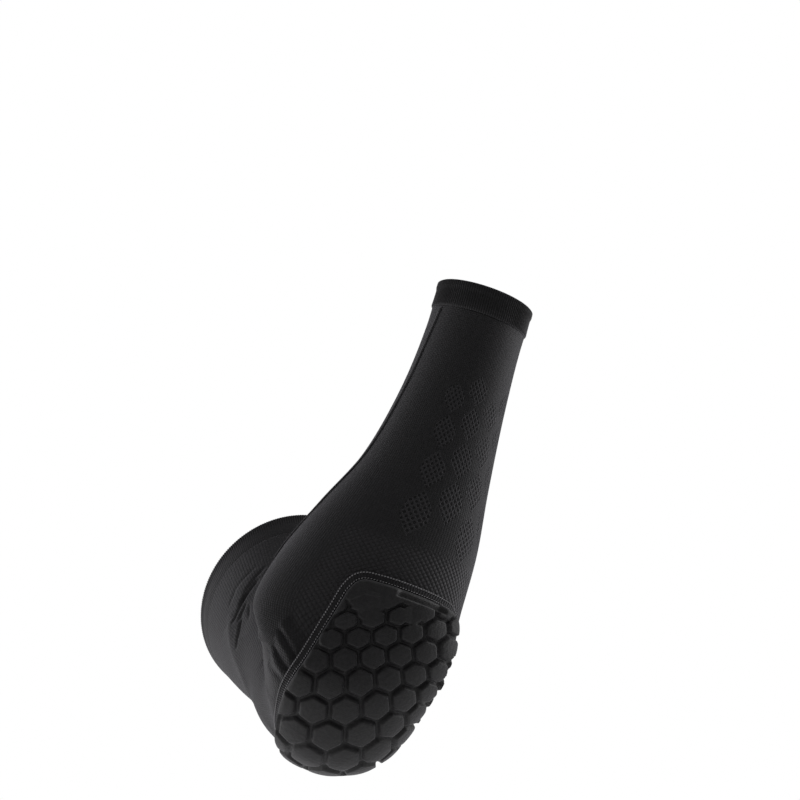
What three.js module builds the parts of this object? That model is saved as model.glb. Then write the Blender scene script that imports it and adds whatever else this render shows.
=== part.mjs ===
// Knitted arm sleeve with a honeycomb elbow pad, in the form it has on a bent arm.
// Millimetres, +Z up. The middle of the elbow hollow is near the origin, the forearm
// runs up along +Z, the point of the elbow and its pad face -Y, and the upper arm
// runs away along +Y and up. The thumb side is -X.

import * as THREE from 'three';

// Walls and clearances
const WALL = 2.0;
const GAP = 0.35;
const PAD_GAP = 0.8;
const CUFF_WALL = 2.6;

// Bend of the elbow: its angle and the crease line about which the cloth turns
const BEND = THREE.MathUtils.degToRad(113);
const CREASE_Y = 35;
const CREASE_Z = 20;

// Heights of the two ribbed bands, along the arm
const WRIST_BAND = 18;
const UPPER_BAND = 20;

// Forearm: from the crease line up to the wrist rim, its greatest width and depth
const FOREARM_LENGTH = 216;
const FOREARM_WIDTH = 120;
const FOREARM_DEPTH = 86;

// Sections of the forearm, from the wrist down. Columns: share of the length, reach to
// the thumb side and to the little finger side as shares of the width, depth on the
// inner side and on the outer side as shares of the depth, turn in degrees
const FOREARM = [
  [1, 0.246, 0.25, 0.384, 0.407, -22],
  [0.87, 0.233, 0.254, 0.337, 0.36, -21],
  [0.681, 0.254, 0.283, 0.331, 0.349, -18],
  [0.481, 0.321, 0.329, 0.384, 0.378, -14],
  [0.31, 0.442, 0.379, 0.471, 0.413, -11.5],
  [0.148, 0.55, 0.396, 0.547, 0.453, -11.5],
  [0, 0.617, 0.383, 0.384, 0.459, -14],
];

// Elbow: its greatest width, and the reach of its point from the crease line
const ELBOW_WIDTH = 104;
const ELBOW_REACH = 86;

// Sections round the bend, fanned about the crease line. Columns: share of the bend,
// reach to the thumb side and to the other side as shares of the width, distance of the
// crook and of the outer side from the crease line as shares of the reach
const ELBOW = [
  [0.25, 0.64, 0.375, 0.035, 0.965],
  [0.5, 0.51, 0.345, 0.035, 1.015],
  [0.75, 0.41, 0.37, 0.035, 0.9],
];

// Upper arm: from the bend to its rim, its width and its depth there
const UPPER_LENGTH = 130;
const UPPER_WIDTH = 118;
const UPPER_DEPTH = 128;

// Sections of the upper arm. Columns: share of the length, reach to the thumb side and
// to the other side as shares of the width, distance of the inner and of the outer side
// from the crease line as shares of the depth
const UPPER_ARM = [
  [0, 0.35, 0.373, 0.016, 0.63],
  [0.308, 0.373, 0.415, -0.031, 0.65],
  [0.646, 0.432, 0.458, -0.102, 0.727],
  [1, 0.492, 0.508, -0.203, 0.797],
];

// Folds of the body cloth. Columns: section number and degrees round where the fold
// starts, the same where it ends, half width as a share of FOLD_WIDTH, height as a
// share of FOLD_HEIGHT (less than nothing for a dent)
const FOLD_WIDTH = 10;
const FOLD_HEIGHT = 2;
const FOLDS = [
  [12.0, -128, 11.3, -84, 0.9, -1.1],
  [11.8, -84, 10.6, -50, 1, 0.8],
  [6.3, -60, 7.2, -62, 0.9, -0.5],
  [7.0, -84, 8.6, -84, 1, 0.5],
  [9.2, -95, 10.2, -100, 0.8, -0.5],
];

// Pad: the section at its middle, the line from which its flat pattern is measured
// round the arm, and its length and width on that pattern
const PAD_MIDDLE_SECTION = 7.6;
const LINE_X = -4;
const PAD_LENGTH = 143;
const PAD_WIDTH = 90;

// Outline of the pad on its flat pattern. Columns: way along the arm from the middle as
// a share of the length, reach to the left and to the right as shares of the width
const PAD_OUTLINE = [
  [-0.65, 0.156, 0.289],
  [-0.636, 0.278, 0.4],
  [-0.587, 0.333, 0.456],
  [-0.462, 0.372, 0.478],
  [-0.322, 0.422, 0.5],
  [-0.182, 0.478, 0.522],
  [-0.056, 0.478, 0.511],
  [0.084, 0.411, 0.456],
  [0.196, 0.322, 0.378],
  [0.294, 0.2, 0.267],
  [0.35, 0.078, 0.133],
];

// Cells of the pad. The pitch is that of the middle row. The cloth is stretched most at
// the point of the elbow, so the pitch and the distance of the rows, in this order, grow
// from row to row toward it, by one pair of shares above the middle row and one below.
// The rows above also lean to the right, by a share of the pitch
const PITCH = 16.8;
const GROWTH_ABOVE = [0.03, 0.09];
const GROWTH_BELOW = [0.055, 0.15];
const ROW_LEAN = 0.02;
const ROW_TILT = THREE.MathUtils.degToRad(25.5);
const FIRST_CELL = [-0.142, -0.12];
const PAD_BASE = 4.2;
const CELL_RISE = 2.7;
const CELL_DOME = 0.4;
const GROOVE = 1.6;
const BEVEL = 1.1;

// A cell's crown is left out where the outline leaves less of it than this many mm²,
// and so is a whole tile under the second size
const LEAST_CROWN = 6;
const LEAST_TILE = 0.05;

// Sewn band round the pad, and the line sewn along the forearm
const SEAM_CLEAR = 1.0;
const OUTLINE_POINTS = 60;
const SEAM_WIDTH = 4.6;
const SEAM_THICK = 1.0;
const LINE_WIDTH = 2.4;
const LINE_THICK = 0.9;
const LINE_CLEAR = 1.0;
const LINE_END = 5.2;

// Path of the line along the forearm. Columns: share of the way, in section numbers,
// from the wrist band to LINE_END, and degrees round
const LINE_PATH = [
  [0, -52],
  [0.137, -60],
  [0.314, -68],
  [0.558, -77],
  [0.823, -88],
  [1, -97],
];

const AROUND = 36;
const SIDEWAYS = new THREE.Vector3(1, 0, 0);

// Sections of the sleeve as one list

function sectionList() {
  const list = [];
  for (const [share, left, right, inner, outer, turn] of FOREARM) {
    list.push({
      centre: new THREE.Vector3(
        ((right - left) / 2) * FOREARM_WIDTH,
        ((inner - outer) / 2) * FOREARM_DEPTH,
        CREASE_Z + share * FOREARM_LENGTH,
      ),
      out: new THREE.Vector3(0, -1, 0),
      half: ((left + right) / 2) * FOREARM_WIDTH,
      depth: ((inner + outer) / 2) * FOREARM_DEPTH,
      turn: THREE.MathUtils.degToRad(turn),
    });
  }
  const crease = new THREE.Vector3(0, CREASE_Y, CREASE_Z);
  const addFan = (angle, shift, [left, right], [near, far], width, reach) => {
    const out = new THREE.Vector3(0, -Math.cos(angle), -Math.sin(angle));
    const along = new THREE.Vector3(0, Math.sin(angle), -Math.cos(angle));
    const centre = crease.clone().addScaledVector(out, ((near + far) / 2) * reach);
    centre.addScaledVector(along, shift);
    centre.x = ((right - left) / 2) * width;
    const half = ((left + right) / 2) * width;
    list.push({ centre, out, half, depth: ((far - near) / 2) * reach, turn: 0 });
  };
  for (const [share, left, right, near, far] of ELBOW) {
    addFan(share * BEND, 0, [left, right], [near, far], ELBOW_WIDTH, ELBOW_REACH);
  }
  for (const [share, left, right, near, far] of UPPER_ARM) {
    addFan(BEND, share * UPPER_LENGTH, [left, right], [near, far], UPPER_WIDTH, UPPER_DEPTH);
  }
  return list;
}

const SECTIONS = sectionList();
const LAST = SECTIONS.length - 1;

// Point of one section; the angle is measured from the outer side toward +X

function sectionPoint(index, angle) {
  const s = SECTIONS[Math.min(Math.max(index, 0), LAST)];
  const x = s.half * Math.sin(angle);
  const d = s.depth * Math.cos(angle);
  const across = x * Math.cos(s.turn) + d * Math.sin(s.turn);
  const deep = d * Math.cos(s.turn) - x * Math.sin(s.turn);
  return s.centre.clone().addScaledVector(s.out, deep).addScaledVector(SIDEWAYS, across);
}

// Smooth weights between four neighbours

function weights(f) {
  return [
    0.5 * (-f + 2 * f * f - f * f * f),
    0.5 * (2 - 5 * f * f + 3 * f * f * f),
    0.5 * (f + 4 * f * f - 3 * f * f * f),
    0.5 * (-f * f + f * f * f),
  ];
}

function plainPoint(t, angle) {
  const k = Math.min(Math.floor(t), LAST - 1);
  const w = weights(t - k);
  const p = new THREE.Vector3();
  for (let j = 0; j < 4; j += 1) {
    p.addScaledVector(sectionPoint(k + j - 1, angle), w[j]);
  }
  return p;
}

function tangents(t, angle) {
  const e = 0.001;
  const low = Math.max(t - e, 0);
  const high = Math.min(t + e, LAST);
  const along = plainPoint(high, angle).sub(plainPoint(low, angle)).divideScalar(high - low);
  const round = plainPoint(t, angle + e).sub(plainPoint(t, angle - e)).divideScalar(2 * e);
  return [along, round];
}

function plainNormal(t, angle) {
  const [along, round] = tangents(t, angle);
  return along.cross(round).normalize();
}

// Folds: height of the cloth over its plain form

const foldLines = FOLDS.map(([t0, a0, t1, a1, half, height]) => ({
  start: plainPoint(t0, THREE.MathUtils.degToRad(a0)),
  end: plainPoint(t1, THREE.MathUtils.degToRad(a1)),
  half: half * FOLD_WIDTH,
  height: height * FOLD_HEIGHT,
}));

function foldHeight(point) {
  let sum = 0;
  for (const fold of foldLines) {
    const line = new THREE.Line3(fold.start, fold.end);
    const near = line.closestPointToPoint(point, true, new THREE.Vector3());
    const r = near.distanceTo(point) / fold.half;
    sum += fold.height * Math.exp(-r * r);
  }
  return sum;
}

function clothPoint(t, angle, offset) {
  const p = plainPoint(t, angle);
  const rise = foldHeight(p);
  return p.addScaledVector(plainNormal(t, angle), offset + rise);
}

// Closed mesh from lists of points and triangles

function toMesh(name, points, faces, colour, roughness) {
  const flat = [];
  for (const face of faces) {
    for (const i of face) {
      flat.push(points[i].x, points[i].y, points[i].z);
    }
  }
  const geometry = new THREE.BufferGeometry();
  geometry.setAttribute('position', new THREE.Float32BufferAttribute(flat, 3));
  geometry.computeVertexNormals();
  const material = new THREE.MeshStandardMaterial({ color: colour, roughness, metalness: 0 });
  const mesh = new THREE.Mesh(geometry, material);
  mesh.name = name;
  return mesh;
}

// Open tube with an outer and an inner layer, joined at both rims.
// Each row holds a section number, the outer offset and the inner offset

function tube(name, rows, around, colour, roughness) {
  const points = [];
  const faces = [];
  const loop = rows.map((r) => [r[0], r[1]]).concat(rows.map((r) => [r[0], r[2]]).reverse());
  for (const [t, offset] of loop) {
    for (let i = 0; i < around; i += 1) {
      points.push(clothPoint(t, (2 * Math.PI * i) / around, offset));
    }
  }
  for (let r = 0; r < loop.length; r += 1) {
    const a = r * around;
    const b = ((r + 1) % loop.length) * around;
    for (let i = 0; i < around; i += 1) {
      const j = (i + 1) % around;
      faces.push([a + i, b + i, b + j], [a + i, b + j, a + j]);
    }
  }
  return toMesh(name, points, faces, colour, roughness);
}

// Section number at a way in mm from the wrist rim, and from the upper rim

const wristAt = (way) => way / ((FOREARM[0][0] - FOREARM[1][0]) * FOREARM_LENGTH);
const upperAt = (way) => LAST - way / ((UPPER_ARM[3][0] - UPPER_ARM[2][0]) * UPPER_LENGTH);

// Main tube: rows closest round the bend and under the pad

function bodyRows() {
  const rows = [];
  const start = wristAt(WRIST_BAND + GAP);
  const end = upperAt(UPPER_BAND + GAP);
  const marks = [start, 1, 1.25, 1.5, 1.75, 2, 2.35, 2.7, 3, 3.35, 3.7];
  for (let t = 4; t < 10; t += 0.25) {
    marks.push(t);
  }
  marks.push(10, 10.3, 10.6, 10.9, 11.2, 11.5, 11.8, 12.1, 12.4, end);
  for (const t of marks) {
    rows.push([t, 0, -WALL]);
  }
  return rows;
}

const body = tube('sleeve_body', bodyRows(), AROUND, 0x17171a, 0.85);

// Ribbed bands: a rolled edge at the rim, and a low step where they meet the body.
// Columns: share of the height from the rim, outer offset as a share of BAND_RELIEF
const BAND_RELIEF = 0.8;
const BAND_SHAPE = [
  [0, -0.6],
  [0.06, 0.5],
  [0.3, 0.75],
  [0.42, 0.25],
  [0.7, 0.6],
  [0.94, 1],
  [1, 0.1],
];

// Rows of a band that is as high as stated; at() gives the section number of a way

function bandRows(height, at) {
  return BAND_SHAPE.map(([share, relief]) => {
    const offset = relief * BAND_RELIEF;
    return [at(share * height), offset, offset - CUFF_WALL];
  });
}

const wristCuff = tube('wrist_cuff', bandRows(WRIST_BAND, wristAt), AROUND, 0x141416, 0.9);
const upperRows = bandRows(UPPER_BAND, upperAt).reverse();
const upperCuff = tube('upper_cuff', upperRows, AROUND, 0x141416, 0.9);

// Flat pattern of the pad, laid on the sleeve: p is the way along the line where the
// outer side of the arm meets the plane x = LINE_X, and q the way round each section
// from that line. Each node of the grid holds its section number and its angle

const P_STEP = PAD_LENGTH * 0.07;
const P_FIRST = -11 * P_STEP;
const P_COUNT = 19;
const Q_STEP = PAD_WIDTH * 0.11;
const Q_FIRST = -7 * Q_STEP;
const Q_COUNT = 15;
const MARKS = 400;
const TURNS = 60;
const WIDEST_TURN = 2.3;

function zeroAngle(t) {
  let low = -1.3;
  let high = 1.3;
  for (let n = 0; n < 40; n += 1) {
    const middle = (low + high) / 2;
    if (plainPoint(t, middle).x < LINE_X) {
      low = middle;
    } else {
      high = middle;
    }
  }
  return low;
}

// Value at x of the curve through the points (xs, ys), straight between them

function between(x, xs, ys) {
  let k = 1;
  while (k < xs.length - 1 && xs[k] < x) {
    k += 1;
  }
  return ys[k - 1] + ((x - xs[k - 1]) / (xs[k] - xs[k - 1])) * (ys[k] - ys[k - 1]);
}

// Ways along a list of points, from the first

function waysAlong(points) {
  const ways = [0];
  for (let k = 1; k < points.length; k += 1) {
    ways.push(ways[k - 1] + points[k].distanceTo(points[k - 1]));
  }
  return ways;
}

function layPattern() {
  const marks = [];
  for (let i = 0; i <= MARKS; i += 1) {
    marks.push((LAST * i) / MARKS);
  }
  const ways = waysAlong(marks.map((t) => plainPoint(t, zeroAngle(t))));
  const middle = between(PAD_MIDDLE_SECTION, marks, ways);
  const grid = [];
  for (let i = 0; i < P_COUNT; i += 1) {
    const t = between(middle + P_FIRST + i * P_STEP, ways, marks);
    const turns = [];
    for (let k = -TURNS; k <= TURNS; k += 1) {
      turns.push(zeroAngle(t) + (WIDEST_TURN * k) / TURNS);
    }
    const round = waysAlong(turns.map((a) => plainPoint(t, a)));
    const row = [];
    for (let j = 0; j < Q_COUNT; j += 1) {
      row.push({ t, a: between(round[TURNS] + Q_FIRST + j * Q_STEP, round, turns) });
    }
    grid.push(row);
  }
  return grid;
}

const PATTERN = layPattern();

// Pattern point (p along the arm, q round it) lifted off the cloth by a height

function onPattern(p, q, height) {
  const fi = Math.min(Math.max((p - P_FIRST) / P_STEP, 0), P_COUNT - 1.001);
  const fj = Math.min(Math.max((q - Q_FIRST) / Q_STEP, 0), Q_COUNT - 1.001);
  const i = Math.floor(fi);
  const j = Math.floor(fj);
  const wi = weights(fi - i);
  const wj = weights(fj - j);
  let t = 0;
  let a = 0;
  for (let m = 0; m < 4; m += 1) {
    for (let n = 0; n < 4; n += 1) {
      const row = Math.min(Math.max(i + m - 1, 0), P_COUNT - 1);
      const col = Math.min(Math.max(j + n - 1, 0), Q_COUNT - 1);
      t += wi[m] * wj[n] * PATTERN[row][col].t;
      a += wi[m] * wj[n] * PATTERN[row][col].a;
    }
  }
  return clothPoint(t, a, height);
}

// Convex outline, going round with the area on the left

function hull(points) {
  const cross = (o, a, b) => (a.x - o.x) * (b.y - o.y) - (a.y - o.y) * (b.x - o.x);
  const sorted = points.slice().sort((a, b) => a.x - b.x || a.y - b.y);
  const half = (list) => {
    const out = [];
    for (const p of list) {
      while (out.length > 1 && cross(out[out.length - 2], out[out.length - 1], p) <= 0) {
        out.pop();
      }
      out.push(p);
    }
    out.pop();
    return out;
  };
  return half(sorted).concat(half(sorted.reverse()));
}

// Outline of the pad on the pattern: a smooth closed curve without hollows,
// moved out by a margin, as evenly spaced points

function padOutline(count, margin) {
  const place = (p, q) => new THREE.Vector3(p * PAD_LENGTH, q * PAD_WIDTH, 0);
  const left = PAD_OUTLINE.map(([p, l]) => place(p, -l));
  const right = PAD_OUTLINE.map(([p, , r]) => place(p, r)).reverse();
  const curve = new THREE.CatmullRomCurve3(left.concat(right), true, 'centripetal');
  const dense = hull(curve.getSpacedPoints(300).map((v) => new THREE.Vector2(v.x, v.y)));
  const moved = dense.map((p, k) => {
    const before = dense[(k + dense.length - 1) % dense.length];
    const after = dense[(k + 1) % dense.length];
    const dir = after.clone().sub(before).normalize();
    return p.clone().add(new THREE.Vector2(dir.y, -dir.x).multiplyScalar(margin));
  });
  const path = new THREE.Path(moved.concat(moved[0]));
  return path.getSpacedPoints(count).slice(0, count);
}

// Polygon cut by the line through a and b, keeping the left side moved in by a margin

function cutSide(polygon, a, b, margin) {
  const dir = b.clone().sub(a).normalize();
  const side = (p) => dir.x * (p.y - a.y) - dir.y * (p.x - a.x) - margin;
  const out = [];
  polygon.forEach((p, k) => {
    const q = polygon[(k + 1) % polygon.length];
    const sp = side(p);
    const sq = side(q);
    if (sp >= 0) {
      out.push(p);
    }
    if (sp * sq < 0) {
      out.push(p.clone().lerp(q, sp / (sp - sq)));
    }
  });
  return out;
}

function cutBy(polygon, cutter, margin) {
  let out = polygon;
  cutter.forEach((a, k) => {
    if (out.length > 2) {
      out = cutSide(out, a, cutter[(k + 1) % cutter.length], margin);
    }
  });
  return out.length > 2 ? out : [];
}

function areaOf(polygon) {
  let sum = 0;
  polygon.forEach((p, k) => {
    const q = polygon[(k + 1) % polygon.length];
    sum += p.x * q.y - p.y * q.x;
  });
  return sum / 2;
}

function middleOf(polygon) {
  const m = new THREE.Vector2();
  polygon.forEach((p) => m.addScaledVector(p, 1 / polygon.length));
  return m;
}

// Place on the pattern of a row and a column of the lattice of cells

const ROW_STEP = new THREE.Vector2(-Math.sin(ROW_TILT), Math.cos(ROW_TILT));
const NEXT_ROW = new THREE.Vector2(Math.cos(ROW_TILT), Math.sin(ROW_TILT));

function latticePlace(row, column) {
  const [pitchGrowth, rowGrowth] = row < 0 ? GROWTH_ABOVE : GROWTH_BELOW;
  const down = PITCH * Math.sqrt(0.75) * (row + (rowGrowth * row * row) / 2);
  const lean = ROW_LEAN * PITCH * Math.min(row, 0) ** 2;
  return new THREE.Vector2(FIRST_CELL[0] * PAD_LENGTH, FIRST_CELL[1] * PAD_WIDTH)
    .addScaledVector(NEXT_ROW, down)
    .addScaledVector(ROW_STEP, column * PITCH * (1 + pitchGrowth * row) + lean);
}

// Tile of one cell: its six corners as steps of the lattice from its middle

const CORNERS = [[2 / 3, 0], [1 / 3, 0.5], [-1 / 3, 0.5], [-2 / 3, 0], [-1 / 3, -0.5], [1 / 3, -0.5]];

function cellTile(row, column) {
  return CORNERS.map(([down, across]) => latticePlace(row + down, column + across));
}

// All tiles that the outline leaves something of

function cutTiles(outline) {
  const tiles = [];
  const reach = Math.ceil((0.7 * PAD_LENGTH) / PITCH);
  for (let row = -reach; row <= reach; row += 1) {
    for (let c = -reach; c <= reach; c += 1) {
      const tile = cutBy(cellTile(row, c + (row % 2 === 0 ? 0 : 0.5)), outline, 0);
      if (tile.length > 2 && areaOf(tile) > LEAST_TILE) {
        tiles.push(tile);
      }
    }
  }
  return tiles;
}

// Corners of a tile, and a point in the middle of each of its longer sides

function withMiddles(tile) {
  const ring = [];
  tile.forEach((p, k) => {
    const q = tile[(k + 1) % tile.length];
    ring.push(p);
    if (p.distanceTo(q) > PITCH * 0.42) {
      ring.push(p.clone().lerp(q, 0.5));
    }
  });
  return ring;
}

// Triangles between two loops of [index, place] round one middle

function bridge(outer, inner) {
  const middle = middleOf(inner.map(([, place]) => place));
  const byAngle = (loop) => {
    const list = loop.map(([index, place]) => {
      const from = place.clone().sub(middle);
      return [index, Math.atan2(from.y, from.x)];
    }).sort((a, b) => a[1] - b[1]);
    return list.concat([[list[0][0], list[0][1] + 2 * Math.PI]]);
  };
  const outside = byAngle(outer);
  const inside = byAngle(inner);
  const faces = [];
  let i = 0;
  let j = 0;
  while (i < outer.length || j < inner.length) {
    const outNext = j >= inner.length || (i < outer.length && outside[i + 1][1] <= inside[j + 1][1]);
    if (outNext) {
      faces.push([outside[i][0], outside[i + 1][0], inside[j][0]]);
      i += 1;
    } else {
      faces.push([outside[i][0], inside[j + 1][0], inside[j][0]]);
      j += 1;
    }
  }
  return faces;
}

// Fan of triangles from a loop of [index, place] to one point

function fan(loop, peak) {
  return loop.map(([index], k) => [index, loop[(k + 1) % loop.length][0], peak]);
}

// Pad: every tile of the lattice is cut by the outline, and its cell stands on it

function buildPad() {
  const points = [];
  const keys = new Map();
  const faces = [];
  const point = (v, h) => {
    const key = `${Math.round(v.x * 500)},${Math.round(v.y * 500)},${h}`;
    if (!keys.has(key)) {
      keys.set(key, points.length);
      points.push(onPattern(v.x, v.y, PAD_GAP + h));
    }
    return keys.get(key);
  };
  const edges = new Map();
  const lowOf = new Map();
  for (const tile of cutTiles(padOutline(OUTLINE_POINTS, 0))) {
    const ring = withMiddles(tile);
    const top = ring.map((p) => [point(p, PAD_BASE), p]);
    const low = ring.map((p) => [point(p, 0), p]);
    faces.push(...fan(low.slice().reverse(), point(middleOf(tile), 0)));
    top.forEach(([a], k) => {
      const [b] = top[(k + 1) % top.length];
      lowOf.set(a, low[k][0]);
      if (!edges.delete(`${b},${a}`)) {
        edges.set(`${a},${b}`, [a, b]);
      }
    });
    const foot = cutBy(tile, tile, GROOVE / 2);
    const crown = cutBy(foot, foot, BEVEL);
    if (crown.length > 2 && areaOf(crown) > LEAST_CROWN) {
      const footLoop = foot.map((p) => [point(p, PAD_BASE + 0.001), p]);
      const crownLoop = crown.map((p) => [point(p, PAD_BASE + CELL_RISE), p]);
      const peak = point(middleOf(crown), PAD_BASE + CELL_RISE + CELL_DOME);
      faces.push(...bridge(top, footLoop), ...bridge(footLoop, crownLoop), ...fan(crownLoop, peak));
    } else {
      faces.push(...fan(top, point(middleOf(tile), PAD_BASE + 0.001)));
    }
  }
  for (const [a, b] of edges.values()) {
    faces.push([b, a, lowOf.get(a)], [b, lowOf.get(a), lowOf.get(b)]);
  }
  return toMesh('elbow_pad', points, faces, 0x1b1b1e, 0.7);
}

const pad = buildPad();

// Sewn band round the pad: a flat strip with a square section

function buildSeam() {
  const count = OUTLINE_POINTS;
  const inner = padOutline(count, SEAM_CLEAR);
  const outer = padOutline(count, SEAM_CLEAR + SEAM_WIDTH);
  const points = [];
  const faces = [];
  inner.forEach((inside, k) => {
    const outside = outer[k];
    points.push(onPattern(inside.x, inside.y, PAD_GAP));
    points.push(onPattern(inside.x, inside.y, PAD_GAP + SEAM_THICK));
    points.push(onPattern(outside.x, outside.y, PAD_GAP + SEAM_THICK));
    points.push(onPattern(outside.x, outside.y, PAD_GAP));
  });
  for (let k = 0; k < count; k += 1) {
    const a = 4 * k;
    const b = 4 * ((k + 1) % count);
    for (let s = 0; s < 4; s += 1) {
      const n = (s + 1) % 4;
      faces.push([a + s, b + n, b + s], [a + s, a + n, b + n]);
    }
  }
  return toMesh('pad_seam', points, faces, 0x121214, 0.85);
}

const seam = buildSeam();

// Raised line along the forearm

function buildLine() {
  const start = wristAt(WRIST_BAND + LINE_CLEAR);
  const curve = new THREE.CatmullRomCurve3(LINE_PATH.map(([share, a]) => (
    new THREE.Vector3(start + share * (LINE_END - start), THREE.MathUtils.degToRad(a), 0)
  )));
  const count = 30;
  const points = [];
  const faces = [];
  for (let k = 0; k <= count; k += 1) {
    const v = curve.getPoint(k / count);
    const [, round] = tangents(v.x, v.y);
    const side = LINE_WIDTH / 2 / round.length();
    points.push(clothPoint(v.x, v.y - side, GAP));
    points.push(clothPoint(v.x, v.y - side, GAP + LINE_THICK));
    points.push(clothPoint(v.x, v.y + side, GAP + LINE_THICK));
    points.push(clothPoint(v.x, v.y + side, GAP));
  }
  for (let k = 0; k < count; k += 1) {
    for (let s = 0; s < 4; s += 1) {
      const n = (s + 1) % 4;
      const a = 4 * k;
      const b = a + 4;
      faces.push([a + s, b + n, a + n], [a + s, b + s, b + n]);
    }
  }
  const e = 4 * count;
  faces.push([0, 2, 3], [0, 1, 2], [e, e + 2, e + 1], [e, e + 3, e + 2]);
  return toMesh('length_seam', points, faces, 0x1a1a1d, 0.85);
}

const line = buildLine();

const sleeve = new THREE.Group();
sleeve.name = 'shooter_sleeve';
sleeve.add(body, wristCuff, upperCuff, pad, seam, line);

export default sleeve;
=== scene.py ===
# %% [markdown]
# A knitted arm sleeve with a honeycomb elbow pad, as it sits on a bent arm.
#
# The frame that is loaded first holds the plain solids at their real size. They stay as
# they are. Every piece below is a finer skin that takes the place of one of them: the
# same named sizes and the same tables of sections give it the same form, and then it
# gets what a plain solid lacks, such as ribs, puckers, stitches and the knit itself.

# %% Load the frame
import math

import bpy
import numpy as np
from mathutils import Matrix, Vector
from mathutils.geometry import delaunay_2d_cdt

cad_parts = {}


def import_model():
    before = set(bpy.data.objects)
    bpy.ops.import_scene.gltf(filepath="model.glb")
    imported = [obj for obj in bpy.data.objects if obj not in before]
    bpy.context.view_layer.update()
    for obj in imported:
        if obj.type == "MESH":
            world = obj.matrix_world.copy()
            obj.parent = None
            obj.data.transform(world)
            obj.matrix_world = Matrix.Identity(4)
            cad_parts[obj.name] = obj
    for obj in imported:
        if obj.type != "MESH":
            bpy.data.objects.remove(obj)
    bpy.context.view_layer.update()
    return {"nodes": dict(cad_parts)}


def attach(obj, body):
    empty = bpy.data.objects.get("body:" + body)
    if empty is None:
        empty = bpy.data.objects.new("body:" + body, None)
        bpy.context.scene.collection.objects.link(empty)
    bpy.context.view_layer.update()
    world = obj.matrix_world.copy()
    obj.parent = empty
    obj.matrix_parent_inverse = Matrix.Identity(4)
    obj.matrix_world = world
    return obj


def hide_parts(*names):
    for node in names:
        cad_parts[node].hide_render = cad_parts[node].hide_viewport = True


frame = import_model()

print("solids in the frame:", sorted(frame["nodes"]))

# %% [markdown]
# Sizes. They are in millimetres, as a pattern cutter writes them, and turn into metres
# only when a mesh is made. The elbow is bent by 113 degrees about a crease line in the
# crook of the arm. The forearm runs up from it and the upper arm runs away from it.

# %% Named sizes
MM = 0.001
WALL = 2.0
GAP = 0.35
PAD_GAP = 0.8
CUFF_WALL = 2.6
BEND = math.radians(113)
CREASE = np.array([0.0, 35.0, 20.0])
FOREARM_FOOT = 20.0
FOREARM_LENGTH = 216.0
FOREARM_WIDTH = 120.0
FOREARM_DEPTH = 86.0
ELBOW_WIDTH = 104.0
ELBOW_REACH = 86.0
UPPER_LENGTH = 130.0
UPPER_WIDTH = 118.0
UPPER_DEPTH = 128.0
WRIST_BAND = 18.0
UPPER_BAND = 20.0

# %% [markdown]
# An arm has no straight edge, so the form is a loft: a stack of ellipses with a smooth
# curve through them. Each row of a table is one ellipse, and its lengths are shares of
# the named sizes above, so that a longer or wider arm needs one changed number.

# %% Sections of the arm
# Columns: share of the length, reach to the thumb side, reach to the other side,
# depth inside, depth outside, turn in degrees
FOREARM = [
    (1.0, 0.246, 0.25, 0.384, 0.407, -22),
    (0.87, 0.233, 0.254, 0.337, 0.36, -21),
    (0.681, 0.254, 0.283, 0.331, 0.349, -18),
    (0.481, 0.321, 0.329, 0.384, 0.378, -14),
    (0.31, 0.442, 0.379, 0.471, 0.413, -11.5),
    (0.148, 0.55, 0.396, 0.547, 0.453, -11.5),
    (0.0, 0.617, 0.383, 0.384, 0.459, -14),
]
# Columns: share of the bend, reach to the thumb side, reach to the other side,
# distance of the crook from the crease line, distance of the outer side
ELBOW = [
    (0.25, 0.64, 0.375, 0.035, 0.965),
    (0.5, 0.51, 0.345, 0.035, 1.015),
    (0.75, 0.41, 0.37, 0.035, 0.9),
]
# Columns: share of the length, reach to the thumb side, reach to the other side,
# inner distance from the crease line, outer distance
UPPER_ARM = [
    (0.0, 0.35, 0.373, 0.016, 0.63),
    (0.308, 0.373, 0.415, -0.031, 0.65),
    (0.646, 0.432, 0.458, -0.102, 0.727),
    (1.0, 0.492, 0.508, -0.203, 0.797),
]


def section_list():
    """Middle, outward direction, half width, half depth and turn of every ellipse."""
    rows = []
    for share, left, right, inner, outer, turn in FOREARM:
        middle = (
            (right - left) / 2 * FOREARM_WIDTH,
            (inner - outer) / 2 * FOREARM_DEPTH,
            FOREARM_FOOT + share * FOREARM_LENGTH,
        )
        half = (left + right) / 2 * FOREARM_WIDTH
        depth = (inner + outer) / 2 * FOREARM_DEPTH
        rows.append((middle, (0, -1, 0), half, depth, math.radians(turn)))
    fan = [(share * BEND, 0, ELBOW_WIDTH, ELBOW_REACH, *reaches) for share, *reaches in ELBOW]
    fan += [
        (BEND, share * UPPER_LENGTH, UPPER_WIDTH, UPPER_DEPTH, *reaches)
        for share, *reaches in UPPER_ARM
    ]
    for angle, way, width, depth, left, right, near, far in fan:
        left, right, near, far = left * width, right * width, near * depth, far * depth
        out = np.array([0, -math.cos(angle), -math.sin(angle)])
        along = np.array([0, math.sin(angle), -math.cos(angle)])
        middle = CREASE + out * (near + far) / 2 + along * way
        middle[0] = (right - left) / 2
        rows.append((middle, out, (left + right) / 2, (far - near) / 2, 0))
    return [np.array(column, float) for column in zip(*rows)]


MIDDLE, OUT, HALF, DEPTH, TURN = section_list()
LAST = len(HALF) - 1
print("sections:", len(HALF))

# %% [markdown]
# A place on the sleeve has two coordinates: t, which section it is at, and the angle
# round the arm, from the outer side toward +X. The curve between sections is a
# Catmull-Rom curve: it goes through every section, with no extra handles to place.


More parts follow.
